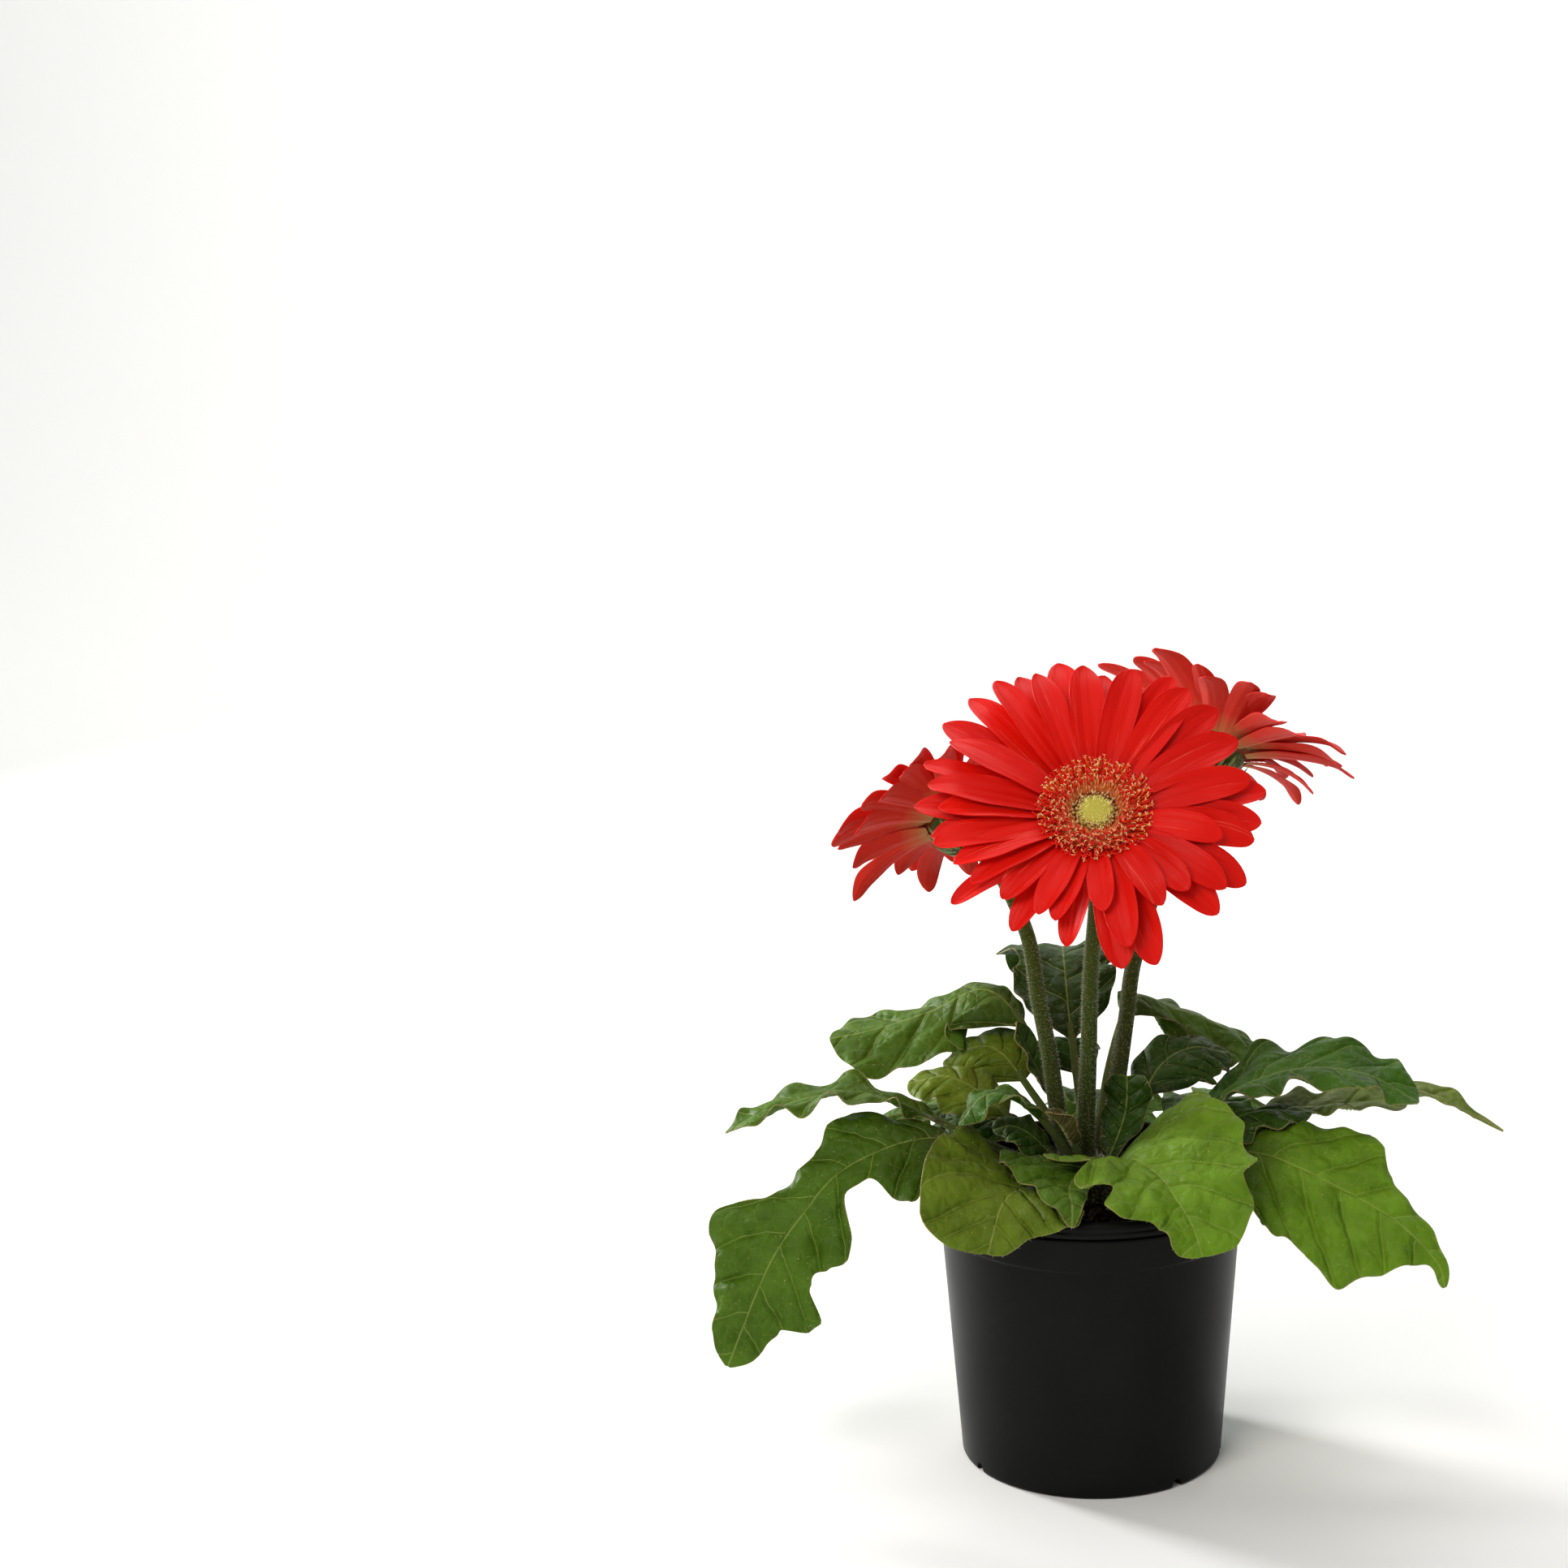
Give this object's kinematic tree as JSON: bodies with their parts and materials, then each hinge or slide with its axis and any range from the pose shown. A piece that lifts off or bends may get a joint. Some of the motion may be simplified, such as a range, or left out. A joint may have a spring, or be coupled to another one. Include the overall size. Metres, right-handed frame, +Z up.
{
  "type": "potted gerbera",
  "caption": "Potted gerbera: a tapered nursery pot of peat, a rosette of lobed leaves and upright stems that each carry a wide daisy head.",
  "frame": {"origin": "centre of the pot's flat foot, on the surface that the pot stands on", "axes": "+Z up; -Y towards the front, which the nearest flower head faces; +X to the right seen from the front"},
  "size_m": [0.2862, 0.1918, 0.2899],
  "materials": {
    "pot": "satin black moulded polypropylene",
    "peat": "moist dark peat crumbs",
    "crown": "rough, hairy, matt",
    "stem": "green and downy",
    "leaf": "satin, quilted between the veins",
    "petal": "satin red with fine lengthwise lines",
    "floret": "matt orange with pale curled tips",
    "eye": "matt yellow-green buds"
  },
  "bodies": {
    "root": {"pot": "pot", "peat": "peat", "crown": "crown", "leaf_front_left_long": "leaf", "leaf_front_left_broad": "leaf", "leaf_front_small": "leaf", "leaf_front_right": "leaf", "leaf_right_down": "leaf", "leaf_right_upper": "leaf", "leaf_right_far": "leaf", "leaf_right_low": "leaf", "leaf_back_right": "leaf", "leaf_back": "leaf", "leaf_back_left": "leaf", "leaf_left_wavy": "leaf", "leaf_left_olive": "leaf", "leaf_left_olive_back": "leaf", "leaf_young_fold": "leaf", "leaf_front_mid": "leaf", "leaf_centre_right": "leaf", "leaf_bud": "leaf", "leaf_right_mid": "leaf", "leaf_back_low": "leaf", "leaf_left_dark": "leaf", "leaf_left_low": "leaf", "leaf_rear": "leaf", "leaf_rear_left": "leaf", "leaf_rear_right": "leaf", "scape_front": "stem", "petals_front": "petal", "florets_front": "floret", "eye_front": "eye", "scape_right": "stem", "petals_right": "petal", "florets_right": "floret", "eye_right": "eye", "scape_left": "stem", "petals_left": "petal", "florets_left": "floret", "eye_left": "eye"}
  },
  "joints": []
}
